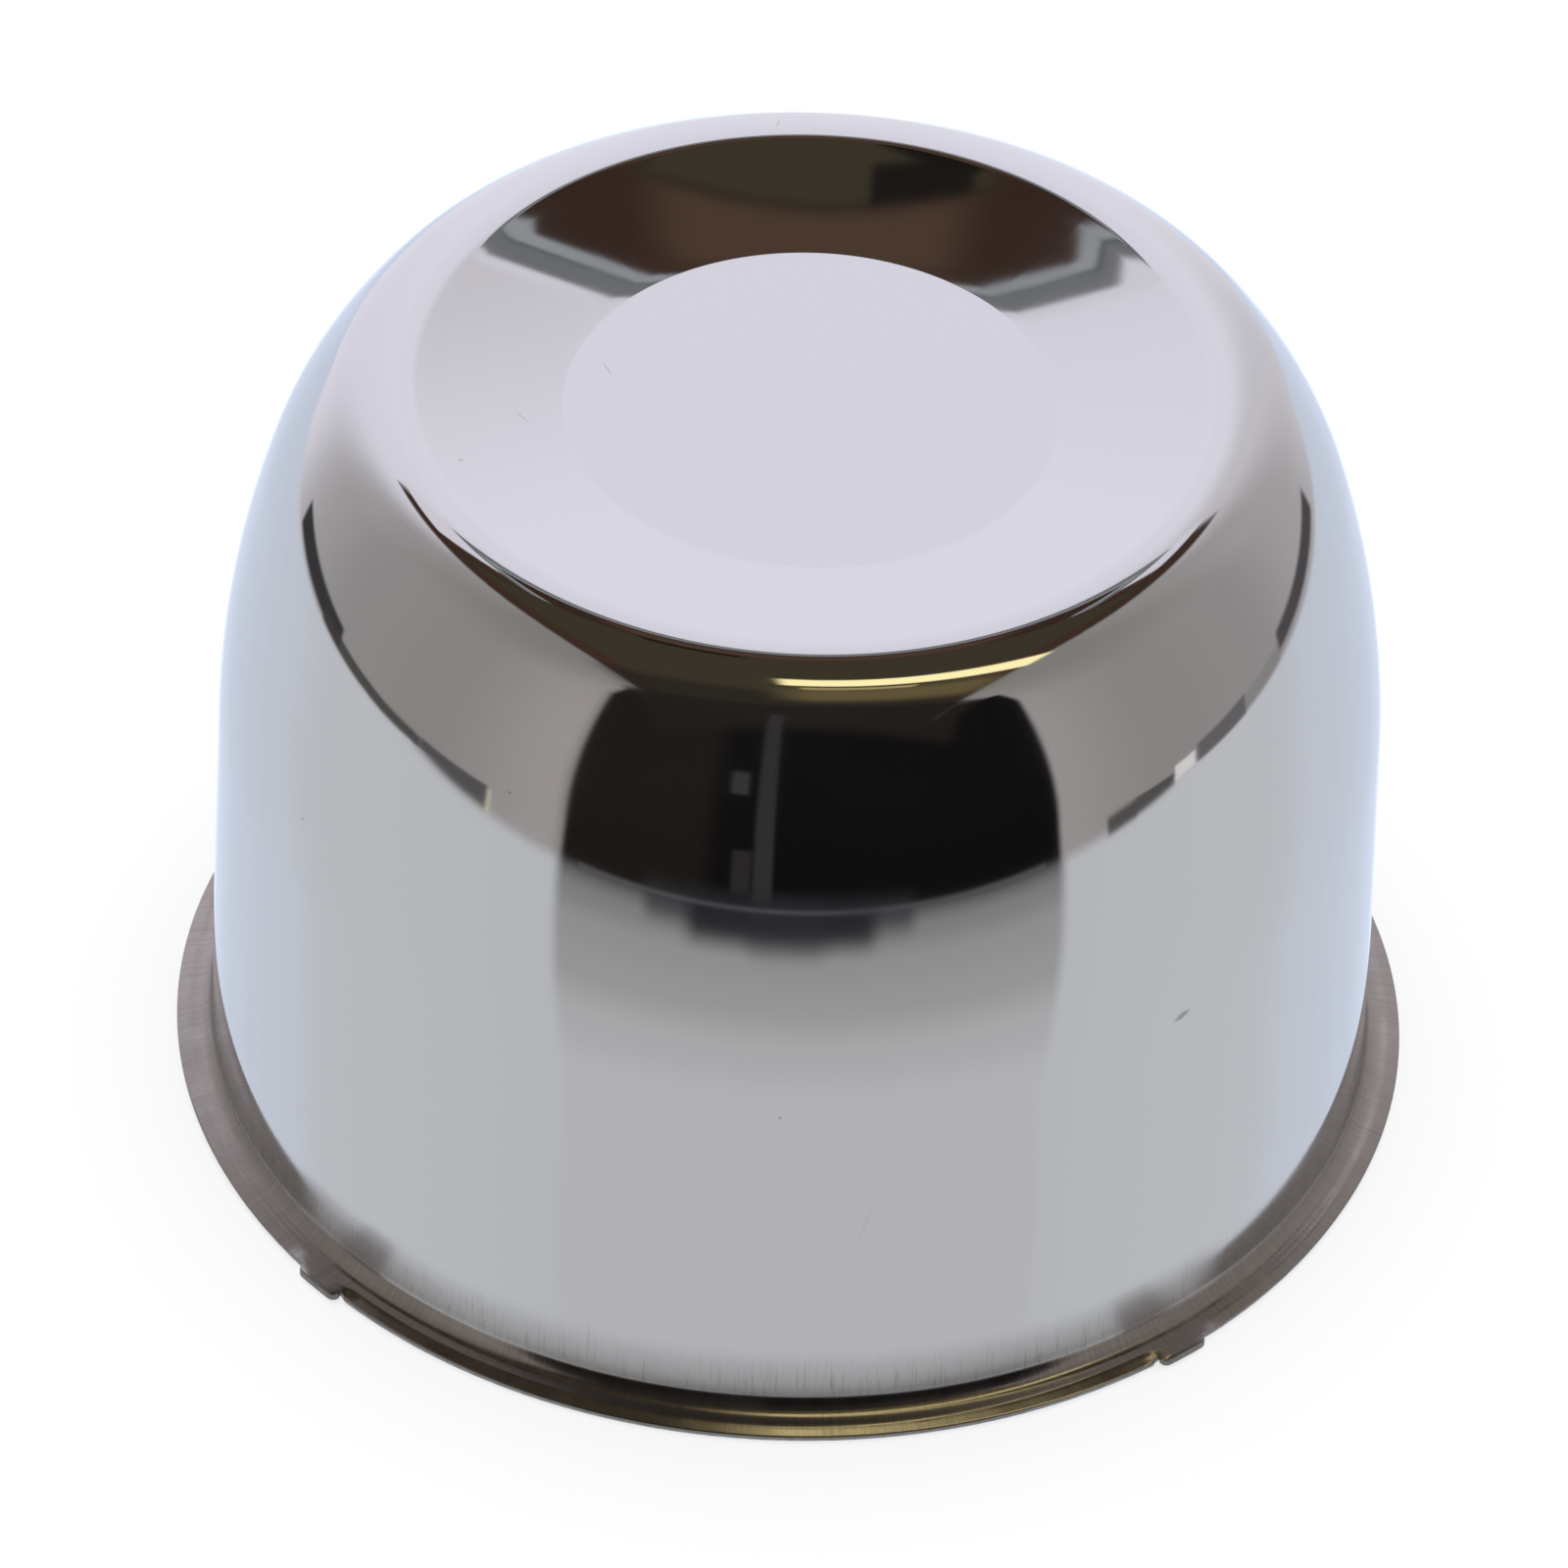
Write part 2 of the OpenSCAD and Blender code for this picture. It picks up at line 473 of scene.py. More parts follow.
@dataclass(frozen=True)
class Bend:
    """One round stretch of the sheet's outer face, as seen in the half section.

    Attributes:
        centre: Its centre, as distance from the axis and height.
        radius: Its radius.
        start: The direction from the centre to where it starts, in degrees above level.
        end: The same for where it ends.
        steps: How many pieces it is drawn in.
        leg: How many pieces the straight stretch before it is drawn in.
    """

    centre: tuple[float, float]
    radius: float
    start: float
    end: float
    steps: int
    leg: int = 1

    def point(self, angle: float) -> Vector:
        """The point of the stretch in one direction from its centre."""
        across, up = self.centre
        return Vector((across + self.radius * cos(angle), 0, up + self.radius * sin(angle)))


@dataclass(frozen=True)
class Tab:
    """One level tab on the lip.

    Attributes:
        middle: Angle of its middle about the axis, in degrees.
        step_side: 1 if its sheared end lies at the larger angle, or -1.
    """

    middle: float
    step_side: int


@dataclass
class CapShell:
    """The whole cap: one sheet, drawn, dished, trimmed and pressed.

    Sizes are in metres and angles in degrees. The cup's are the CAD model's. The flange's follow the
    photograph a little closer than the CAD model's do, and stay inside its box. The mesh has more and
    smoother faces than the CAD model, because the mirror finish shows every facet.
    """

    bore_d: float = 107.95 * MM
    seat_gap: float = 0.25 * MM
    cap_h: float = 76.2 * MM
    sheet_t: float = 0.8 * MM
    seat_top: float = 8.5 * MM
    seat_blend_r: float = 150 * MM
    wall_lean: float = 1.5
    sweep_r: float = 89 * MM
    sweep_end: float = 17.7
    shoulder_r: float = 32.75 * MM
    shoulder_end: float = 38.9
    nose_r: float = 8.5 * MM
    dish_w: float = 14.4 * MM
    dish_h: float = 3 * MM
    slope_r: float = 200 * MM
    ring_r: float = 5.5 * MM
    disc_crease_r: float = 0.8 * MM
    flange_w: float = 3.175 * MM
    # The die's edge flares the seat band a little before the corner, which keeps the lip out of its mirror.
    flare_r: float = 22 * MM
    flare_turn: float = 6.0
    corner_r: float = 1.8 * MM
    ledge_w: float = 0.16 * MM
    lip_droop: float = 22.5
    lip_bend_r: float = 0.8 * MM
    # Angle between the two tabs of a pair, and the angles that a tab and its rounded corners take up
    tab_pair_angle: float = 86.5
    tab_angle: float = 5.0
    tab_corner_angle: float = 1.6
    tab_reach: float = 0.8 * MM
    tab_round: float = 0.68 * MM
    # The sheared gap at a tab's one end, and how far in from the rim it reaches
    gap_angle: float = 0.45
    gap_depth: float = 0.3 * MM
    # The ramp at its other end
    ramp_angle: float = 2.8
    ramp_columns: int = 4
    # Widest angle between two of the lathe's columns, and how near to one its vertices are
    column: float = 1.5
    column_slack: float = 0.01
    # Width that the cut edge's sharp corners lose, and how sharp a corner has to be
    edge_w: float = 0.07 * MM
    edge_angle: float = 60.0
    # Sharpest bend that is shaded smooth
    smooth_angle: float = 38.0
    # The brushed finish starts this far outside the seat band.
    brushed_from: float = 0.15 * MM
    bends: list[Bend] = field(default_factory=list)

    def __post_init__(self) -> None:
        """Works out the half section: the flange's levels, and each bend from the axis outwards."""
        self.seat_r = self.bore_d / 2 - self.seat_gap
        self.lip_r = self.bore_d / 2 + self.flange_w
        self.tab_r = self.lip_r + self.tab_reach
        corner_x = self.seat_r + self.corner_r
        self.bend_x = corner_x + self.ledge_w
        bend_r = self.lip_bend_r + self.sheet_t
        lip_len = (self.lip_r - self.bend_x - bend_r * sin(self.lip_droop)) / cos(self.lip_droop)
        self.ledge_z = (
            bend_r * (1 - cos(self.lip_droop)) + lip_len * sin(self.lip_droop)
            + self.sheet_t * cos(self.lip_droop))

        grow = self.flare_r - self.corner_r
        flare = (self.seat_r + self.flare_r, self.ledge_z + self.corner_r + grow * sin(self.flare_turn))
        corner = (flare[0] - grow * cos(self.flare_turn), self.ledge_z + self.corner_r)
        blend_x = self.seat_r - self.seat_blend_r
        foot_x = blend_x + self.seat_blend_r * cos(self.wall_lean)
        foot_z = self.seat_top + self.seat_blend_r * sin(self.wall_lean)
        top_z = (
            self.cap_h - self.nose_r * (1 - sin(self.shoulder_end))
            - self.shoulder_r * (sin(self.shoulder_end) - sin(self.sweep_end))
            - self.sweep_r * (sin(self.sweep_end) - sin(self.wall_lean)))
        top_x = foot_x - (top_z - foot_z) * math.tan(math.radians(self.wall_lean))
        sweep = (top_x - self.sweep_r * cos(self.wall_lean), top_z - self.sweep_r * sin(self.wall_lean))
        gain = self.sweep_r - self.shoulder_r
        shoulder = (sweep[0] + gain * cos(self.sweep_end), sweep[1] + gain * sin(self.sweep_end))
        gain = self.shoulder_r - self.nose_r
        nose = (shoulder[0] + gain * cos(self.shoulder_end), shoulder[1] + gain * sin(self.shoulder_end))

        ring = (nose[0], self.cap_h - self.ring_r)
        self.disc_z = self.cap_h - self.dish_h
        crease = (ring[0] - self.dish_w, self.disc_z + self.disc_crease_r)
        across, up = ring[0] - crease[0], ring[1] - crease[1]
        reach = math.hypot(across, up)
        to_crease, to_ring = self.slope_r - self.disc_crease_r, self.slope_r + self.ring_r
        along = (to_crease ** 2 - to_ring ** 2 + reach ** 2) / (2 * reach)
        aside = math.sqrt(to_crease ** 2 - along ** 2)
        slope = (
            crease[0] + (along * across - aside * up) / reach,
            crease[1] + (along * up + aside * across) / reach)
        slope_start = 360 + math.degrees(math.atan2(crease[1] - slope[1], crease[0] - slope[0]))
        slope_end = 360 + math.degrees(math.atan2(ring[1] - slope[1], ring[0] - slope[0]))
        self.bends = [
            Bend(crease, self.disc_crease_r, 270, slope_start, 4, 6),
            Bend(slope, self.slope_r, slope_start, slope_end, 12),
            Bend(ring, self.ring_r, slope_end - 180, 90, 8),
            Bend(nose, self.nose_r, 90, self.shoulder_end, 32),
            Bend(shoulder, self.shoulder_r, self.shoulder_end, self.sweep_end, 20),
            Bend(sweep, self.sweep_r, self.sweep_end, self.wall_lean, 16),
            Bend((blend_x, self.seat_top), self.seat_blend_r, self.wall_lean, 0, 3, 8),
            Bend(flare, self.flare_r, 180, 180 + self.flare_turn, 6, 4),
            Bend(corner, self.corner_r, 180 + self.flare_turn, 270, 12, 1),
            Bend((self.bend_x, self.ledge_z - bend_r), bend_r, 90, 90 - self.lip_droop, 4, 1),
        ]
        self.lip_end = self.bends[-1].point(90 - self.lip_droop) + Vector(
            (lip_len * cos(self.lip_droop), 0, -lip_len * sin(self.lip_droop)))
        half = self.tab_pair_angle / 2
        self.tabs = [Tab(90 - half, 1), Tab(90 + half, -1), Tab(270 - half, 1), Tab(270 + half, -1)]

    def half_section(self) -> bpy.types.Object:
        """Draws the half section of the outer face as one chain of edges, from the axis to the lip's edge.

        Returns:
            The object, in edit mode, with the whole chain selected.
        """
        select_none()
        bpy.ops.mesh.primitive_plane_add(size=MM, location=(0, 0, self.disc_z))
        piece = bpy.context.object
        piece.name = piece.data.name = "stainless_shell"
        bpy.ops.object.transform_apply(location=True, rotation=True, scale=True)
        edit(piece)
        bpy.ops.mesh.select_mode(type="VERT")
        bpy.ops.mesh.select_all(action="SELECT")
        bpy.ops.mesh.merge(type="CENTER")
        here = Vector((0, 0, self.disc_z))
        for bend in self.bends:
            here = self.straight(here, bend.point(bend.start), bend.leg)
            bpy.ops.mesh.spin(
                steps=bend.steps, angle=math.radians(bend.end - bend.start),
                center=(bend.centre[0], 0, bend.centre[1]), axis=(0, 1, 0))
            here = bend.point(bend.end)
        self.straight(here, self.lip_end, 3)
        bpy.ops.mesh.select_all(action="SELECT")
        return piece

    def straight(self, start: Vector, end: Vector, parts: int) -> Vector:
        """Extrudes the chain's last vertex along a straight stretch.

        The parts are shortest at the two ends, which keeps the shading of the flat stretch flat.

        Args:
            start: Where the last vertex is.
            end: Where the stretch ends.
            parts: How many edges it is drawn in.

        Returns:
            The end.
        """
        if (end - start).length < NEAR / 10:
            return end
        last = 0.0
        for i in range(1, parts + 1):
            share = (1 - cos(180 * i / parts)) / 2
            step = (end - start) * (share - last)
            bpy.ops.mesh.extrude_vertices_move(TRANSFORM_OT_translate={"value": step})
            last = share
        return end

    def sectors(self) -> list[tuple[float, int]]:
        """Splits the full turn so that every tab, ramp and gap starts and ends on a column.

        Returns:
            Each sector's angle in degrees and its number of columns, from +X round through +Y.
        """
        half = self.tab_angle / 2
        corner = self.tab_corner_angle
        cuts: list[tuple[float, float, int]] = []
        for tab in self.tabs:
            ramp = (self.ramp_angle, self.ramp_columns)
            gap = (self.gap_angle, 1)
            before, after = (ramp, gap) if tab.step_side > 0 else (gap, ramp)
            left, right = tab.middle - half, tab.middle + half
            cuts += [
                (left - before[0], left, before[1]),
                (left, left + corner, 1),
                (left + corner, right - corner, 1),
                (right - corner, right, 1),
                (right, right + after[0], after[1]),
            ]
        made: list[tuple[float, int]] = []
        here = 0.0
        for start, end, columns in cuts:
            if start - here > NEAR:
                made.append((start - here, math.ceil((start - here) / self.column)))
            made.append((end - start, columns))
            here = end
        made.append((360 - here, math.ceil((360 - here) / self.column)))
        return made

    def lathe(self) -> bpy.types.Object:
        """Spins the half section round the axis, and closes the seam and the pole.

        Returns:
            The outer face, in edit mode, with its faces pointing outwards.
        """
        piece = self.half_section()
        for angle, columns in self.sectors():
            bpy.ops.mesh.spin(steps=columns, angle=math.radians(angle), center=(0, 0, 0), axis=(0, 0, 1))
        bpy.ops.mesh.select_all(action="SELECT")
        bpy.ops.mesh.remove_doubles(threshold=NEAR)
        bpy.ops.mesh.normals_make_consistent(inside=False)
        mesh = bmesh.from_edit_mesh(piece.data)
        top = max(mesh.faces, key=lambda face: face.calc_center_median().z)
        if top.normal.z < 0:
            bpy.ops.mesh.flip_normals()
        return piece

    def within(self, place: Vector, low: float, high: float) -> bool:
        """Whether a point's angle about the axis lies from low to high, in degrees."""
        return low - self.column_slack <= around(place) <= high + self.column_slack

    def press_tab(self, piece: bpy.types.Object, tab: Tab) -> None:
        """Presses one tab level, shears its one end free, ramps its other end and pushes its edge out.

        Args:
            piece: The lathe's mesh, in edit mode.
            tab: The tab.
        """
        half = self.tab_angle / 2
        lip, rim, far = self.bend_x + NEAR, self.lip_r - NEAR, self.tab_r - NEAR
        low, high = tab.middle - half, tab.middle + half
        end, start = tab.middle + tab.step_side * half, tab.middle - tab.step_side * half

        gap = sorted((end, end + tab.step_side * self.gap_angle))
        pick(piece, Part.FACE, lambda face: out(face.calc_center_median()) > self.lip_r - self.gap_depth
             and gap[0] < around(face.calc_center_median()) < gap[1])
        bpy.ops.mesh.delete(type="FACE")

        level = (0, 0, self.ledge_z)
        pick(piece, Part.VERTEX, lambda v: out(v.co) > lip and self.within(v.co, low, high))
        bpy.ops.transform.resize(value=(1, 1, 0), center_override=level)
        for i in range(1, self.ramp_columns):
            at = start - tab.step_side * self.ramp_angle * i / self.ramp_columns
            keep = (1 - cos(180 * i / self.ramp_columns)) / 2
            pick(piece, Part.VERTEX, lambda v: out(v.co) > lip and self.within(v.co, at, at))
            bpy.ops.transform.resize(value=(1, 1, keep), center_override=level)

        pick(piece, Part.EDGE, lambda edge: all(
            out(v.co) > rim and self.within(v.co, low, high) for v in edge.verts))
        bpy.ops.mesh.extrude_region_move(TRANSFORM_OT_translate={"value": (0, 0, 0)})
        grow = self.tab_r / self.lip_r
        bpy.ops.transform.resize(value=(grow, grow, 1), center_override=level)
        for corner in (end, start):
            pick(piece, Part.VERTEX, lambda v: out(v.co) > far and self.within(v.co, corner, corner))
            bpy.ops.mesh.bevel(offset=self.tab_round, segments=4, affect="VERTICES")

    def thicken(self, piece: bpy.types.Object) -> None:
        """Gives the sheet its thickness inwards, and takes the sharpness off its cut edge.

        Args:
            piece: The outer face, in object mode.
        """
        for _ in Side:
            piece.data.materials.append(None)
        sheet = piece.modifiers.new("sheet", "SOLIDIFY")
        sheet.thickness = self.sheet_t
        sheet.offset = -1
        sheet.use_even_offset = True
        sheet.use_quality_normals = True
        sheet.material_offset = Side.INSIDE
        sheet.material_offset_rim = Side.CUT_EDGE
        bpy.ops.object.modifier_apply(modifier=sheet.name)
        dull = piece.modifiers.new("dull_edge", "BEVEL")
        dull.width = self.edge_w
        dull.segments = 2
        dull.limit_method = "ANGLE"
        dull.angle_limit = math.radians(self.edge_angle)
        dull.use_clamp_overlap = True
        bpy.ops.object.modifier_apply(modifier=dull.name)

    def dress(self, piece: bpy.types.Object) -> None:
        """Gives each side of the sheet its finish.

        Args:
            piece: The finished mesh, in object mode.
        """
        finishes = {
            Side.POLISHED: PolishedStainless(),
            Side.INSIDE: DrawnInside(),
            Side.CUT_EDGE: ShearedEdge(),
            Side.FLANGE: BrushedFlange(),
        }
        for side, finish in finishes.items():
            piece.data.materials[side] = finish.material()
        brushed = self.seat_r + self.brushed_from
        for face in piece.data.polygons:
            if face.material_index == Side.POLISHED and out(face.center) > brushed:
                face.material_index = Side.FLANGE
        bpy.ops.object.shade_smooth_by_angle(angle=math.radians(self.smooth_angle))

    def build(self) -> bpy.types.Object:
        """Builds the cap.

        Returns:
            The finished piece.
        """
        piece = self.lathe()
        for tab in self.tabs:
            self.press_tab(piece, tab)
        bpy.ops.mesh.select_all(action="SELECT")
        bpy.ops.mesh.remove_doubles(threshold=NEAR / 10)
        bpy.ops.object.mode_set(mode="OBJECT")
        self.thicken(piece)
        self.dress(piece)
        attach(piece, "root")
        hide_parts("cap_shell")
        return piece


@dataclass(frozen=True)
class Patch:
    """One soft-edged patch of the surroundings, in the directions it is seen in from the cap.

    Attributes:
        tone: Its colour as the polished steel shows it.
        across: Its lowest and highest angle round the horizon from the camera's side, + to the right, or,
            on a ceiling patch, its lowest and highest place from left to right.
        up: Its lowest and highest elevation, or, on a ceiling patch, its place from front to back.
        soft: Width of its soft edge, in degrees.
        ceiling: Whether it is laid out on the plane overhead, in degrees from the zenith.
        share: How much of the tone it lays over what is behind it.
    """

    tone: str
    across: tuple[float, float]
    up: tuple[float, float]
    soft: float = 1.5
    ceiling: bool = False
    share: float = 1.0


@dataclass
class LightTent:
    """Soft studio surroundings: a white tent, open at the front and the top to a dim room with one lamp.

    The camera sees plain white, and so does the floor. Only reflections show the tent.
    """

    steel: str = PolishedStainless.reflectance
    # How bright the tent is for everything but mirrors
    plain: float = 0.85

    def seen_in_steel(self, tone: str) -> tuple[float, float, float, float]:
        """The light that the polished steel turns into a tone.

        Args:
            tone: The colour as seen in the steel, in sRGB hex.

        Returns:
            The colour of the surroundings, in linear light.
        """
        want, steel = linear(tone), linear(self.steel)
        return (want[0] / steel[0], want[1] / steel[1], want[2] / steel[2], 1.0)

    def build(self) -> None:
        """Builds the world's nodes."""
        world = bpy.data.worlds.new("light_tent")
        bpy.context.scene.world = world
        world.use_nodes = True
        tree = self.tree = world.node_tree
        tree.nodes.clear()
        self.point()

        colour = self.walls()
        for patch in self.opening():
            colour = self.lay(colour, patch)
        colour = self.table(colour)
        for patch in self.clutter():
            colour = self.lay(colour, patch)

        path = add_node(tree, "ShaderNodeLightPath")
        mirrored = add_node(
            tree, "ShaderNodeMath", {"operation": "MAXIMUM"},
            i0=path.outputs["Is Glossy Ray"], i1=path.outputs["Is Transmission Ray"])
        white = add_node(tree, "ShaderNodeBackground", Color=(1, 1, 1, 1), Strength=1.0)
        plain = add_node(tree, "ShaderNodeBackground", Color=(1, 1, 1, 1), Strength=self.plain)
        tent = add_node(tree, "ShaderNodeBackground", Color=colour, Strength=1.0)
        soft = add_node(tree, "ShaderNodeMixShader", i0=mirrored, i1=plain, i2=tent)
        seen = add_node(
            tree, "ShaderNodeMixShader", i0=path.outputs["Is Camera Ray"], i1=soft, i2=white)
        add_node(tree, "ShaderNodeOutputWorld", i0=seen)

    def point(self) -> None:
        """Adds the outputs that say where a direction points.

        They are its elevation, its azimuth from the camera's side with and without its sign, and its place
        to the right and to the back on the plane overhead, all in degrees.
        """
        tree = self.tree
        toward = add_node(tree, "ShaderNodeTexCoord").outputs["Generated"]
        turned = add_node(tree, "ShaderNodeMapping", i0=toward, Rotation=(0, 0, -CAP_TURN))
        x, y, z = add_node(tree, "ShaderNodeSeparateXYZ", i0=turned).outputs
        rise = add_node(tree, "ShaderNodeMath", {"operation": "ARCSINE"}, i0=z)
        self.elevation = add_node(tree, "ShaderNodeMath", {"operation": "DEGREES"}, i0=rise)
        front = add_node(tree, "ShaderNodeMath", {"operation": "MULTIPLY"}, i0=y, i1=-1.0)
        bearing = add_node(tree, "ShaderNodeMath", {"operation": "ARCTAN2"}, i0=x, i1=front)
        self.azimuth = add_node(tree, "ShaderNodeMath", {"operation": "DEGREES"}, i0=bearing)
        self.facing = add_node(tree, "ShaderNodeMath", {"operation": "ABSOLUTE"}, i0=self.azimuth)
        flat = add_node(tree, "ShaderNodeCombineXYZ", i0=x, i1=y)
        level = add_node(tree, "ShaderNodeVectorMath", {"operation": "LENGTH"}, i0=flat).outputs["Value"]
        # Straight up, where the level part is nothing, the place overhead is still a number
        level = add_node(tree, "ShaderNodeMath", {"operation": "MAXIMUM"}, i0=level, i1=1e-4)
        slope = add_node(tree, "ShaderNodeMath", {"operation": "SUBTRACT"}, i0=90.0, i1=self.elevation)
        spread = add_node(tree, "ShaderNodeMath", {"operation": "DIVIDE"}, i0=slope, i1=level)
        self.right = add_node(tree, "ShaderNodeMath", {"operation": "MULTIPLY"}, i0=x, i1=spread)
        self.back = add_node(tree, "ShaderNodeMath", {"operation": "MULTIPLY"}, i0=y, i1=spread)

    def ramp(self, value: Any, stops: Sequence[tuple[float, str]]) -> bpy.types.NodeSocket:
        """Adds a colour that changes smoothly with a value.

        Args:
            value: The output that drives it.
            stops: Values in rising order, each with the tone that the steel shows there.

        Returns:
            The colour's output.
        """
        low, high = stops[0][0], stops[-1][0]
        share = add_node(self.tree, "ShaderNodeMapRange", Value=value, From_Min=low, From_Max=high)
        node = add_node(self.tree, "ShaderNodeValToRGB", Fac=share)
        band = node.color_ramp
        band.interpolation = "EASE"
        while len(band.elements) < len(stops):
            band.elements.new(0.5)
        # The places come first, because setting one can change the elements' order
        for element, (at, _) in zip(band.elements, stops):
            element.position = (at - low) / (high - low)
        for element, (_, tone) in zip(band.elements, stops):
            element.color = self.seen_in_steel(tone)
        return node.outputs["Color"]

    def inside(self, value: Any, span: tuple[float, float], soft: float) -> bpy.types.Node:
        """Adds a soft test of whether a value lies in a span.

        Args:
            value: The output to test.
            span: The lowest and highest value.
            soft: Width of the soft edge.

        Returns:
            A node that gives 1 inside and 0 outside.
        """
        middle, half = (span[0] + span[1]) / 2, (span[1] - span[0]) / 2
        off = add_node(self.tree, "ShaderNodeMath", {"operation": "SUBTRACT"}, i0=value, i1=middle)
        off = add_node(self.tree, "ShaderNodeMath", {"operation": "ABSOLUTE"}, i0=off)
        return add_node(
            self.tree, "ShaderNodeMapRange", SMOOTH, Value=off,
            From_Min=half + soft / 2, From_Max=half - soft / 2)

    def lay(self, under: Any, patch: Patch) -> bpy.types.NodeSocket:
        """Lays a patch over what is behind it.

        Args:
            under: The output or colour that is behind it.
            patch: The patch.

        Returns:
            The result's output.
        """
        a, b = (self.right, self.back) if patch.ceiling else (self.azimuth, self.elevation)
        share = add_node(
            self.tree, "ShaderNodeMath", {"operation": "MULTIPLY"},
            i0=self.inside(a, patch.across, patch.soft), i1=self.inside(b, patch.up, patch.soft))
        if patch.share < 1:
            share = add_node(
                self.tree, "ShaderNodeMath", {"operation": "MULTIPLY"}, i0=share, i1=patch.share)
        return add_node(
            self.tree, "ShaderNodeMix", COLOUR,
            Factor=share, A=under, B=self.seen_in_steel(patch.tone)).outputs["Result"]

    def walls(self) -> bpy.types.NodeSocket:
        """Adds the tent's cloth: grey and warm at the sides, and white behind the cap, where the lamps are.

        Returns:
            The cloth's output.
        """
        low = self.ramp(self.facing, [
            (45, "969190"), (75, "868281"), (100, "8a8787"), (125, "9d9a9c"), (150, "bebbc2"),
            (172, "d6d5e0")])
        high = self.ramp(self.facing, [
            (45, "7d7876"), (90, "7c7875"), (125, "8a8685"), (150, "b8b4b8"), (172, "cfccd8")])
        rise = add_node(
            self.tree, "ShaderNodeMapRange", SMOOTH, Value=self.elevation, From_Min=20, From_Max=60)
        cloth = add_node(self.tree, "ShaderNodeMix", COLOUR, Factor=rise, A=low, B=high).outputs["Result"]
        return self.lay(cloth, Patch("e4e1f2", (-165, -130), (-30, 52), 24, share=0.5))

    def opening(self) -> list[Patch]:
        """Lists what shows of the dim room through the front and the top of the tent.

        Returns:
            The patches, from the furthest back to the nearest.
        """
        return [
            # The open front
            Patch("0e0d0d", (-43.5, 50.2), (-30, 44), 1.5),
            # The open top, with the cloth's grey hem round it
            Patch("6c6e6e", (-29.4, 29), (-48, 38.4), 0.7, ceiling=True),
            Patch("3a2a22", (-28.5, 28), (-48, 37.4), 0.6, ceiling=True),
            # The cloth leaves a narrower gap at the back, with a double hem
            Patch("c9c6d0", (-25, 22), (32, 39.5), 1.0, ceiling=True),
            Patch("66686a", (-15.6, 17.0), (20, 38.5), 0.5, ceiling=True),
            Patch("3a3c3e", (-14.8, 16.2), (20, 36.6), 0.3, ceiling=True),
            Patch("8a8d91", (-14.6, 15.9), (20, 36.4), 0.3, ceiling=True),
            Patch("33241d", (-13.7, 14.8), (20, 35.3), 0.4, ceiling=True),
            Patch("4a392f", (-8, 9), (20, 33.8), 4, ceiling=True, share=0.9),
            # The room's olive ceiling, with a dark beam, which darkens towards the camera
            Patch("2c251b", (-24, 24), (-48, 28.2), 0.8, ceiling=True),
            Patch("383227", (-24, 24), (-48, 27.6), 0.8, ceiling=True),
            Patch("171412", (-8.3, -2.8), (25.2, 27.9), 0.5, ceiling=True),
            Patch("1e1a17", (-43.5, -16), (-30, 44), 6, share=0.8),
            Patch("211e1a", (-30, 26), (-52, -14), 9, ceiling=True, share=0.7),
            Patch("1f1c19", (-32, 33.5), (-54, -31), 4, ceiling=True, share=0.9),
            # The long lamp, its second tube and the glow beside it
            Patch("fff0b4", (-2.2, 29), (-5.9, 1.7), 1.6, ceiling=True),
            Patch("cdb880", (0, 14), (-10.5, -8), 1.0, ceiling=True, share=0.6),
            Patch("6b5f3f", (-2, 28), (-24, -10), 9, ceiling=True, share=0.7),
            # A post and two boxes
            Patch("2f2d2e", (-7.5, -4), (-12, 48), 1),
            Patch("3a3938", (-13, -9.5), (14, 21), 1, share=0.8),
            Patch("2e2c2a", (-11.5, -8), (-11, -4), 1, share=0.8),
        ]

    def table(self, under: Any) -> bpy.types.NodeSocket:
        """Lays the pale table below the horizon.

        Args:
            under: The output that is behind it.

        Returns:
            The result's output.
        """
        front = self.ramp(self.elevation, [
            (-60, "b4b4b7"), (-40, "b1b1b5"), (-33, "a8a8aa"), (-25, "949494"), (-20, "8e8e8e"),
            (-16, "7c7c7d"), (-13.5, "606062")])
        back = self.ramp(self.facing, [
            (45, "b2b4b7"), (70, "b5b7bb"), (100, "b6b8bd"), (120, "babfca"), (145, "bac1d0"),
            (163, "bfc7da"), (173, "cfdaee"), (179, "eaf1fa")])
        pale = add_node(
            self.tree, "ShaderNodeMix", COLOUR,
            Factor=self.inside(self.azimuth, (-44, 50.5), 3), A=back, B=front)
        below = add_node(
            self.tree, "ShaderNodeMapRange", SMOOTH, Value=self.elevation, From_Min=-12.2, From_Max=-14.2)
        return add_node(
            self.tree, "ShaderNodeMix", COLOUR,
            Factor=below, A=under, B=pale.outputs["Result"]).outputs["Result"]

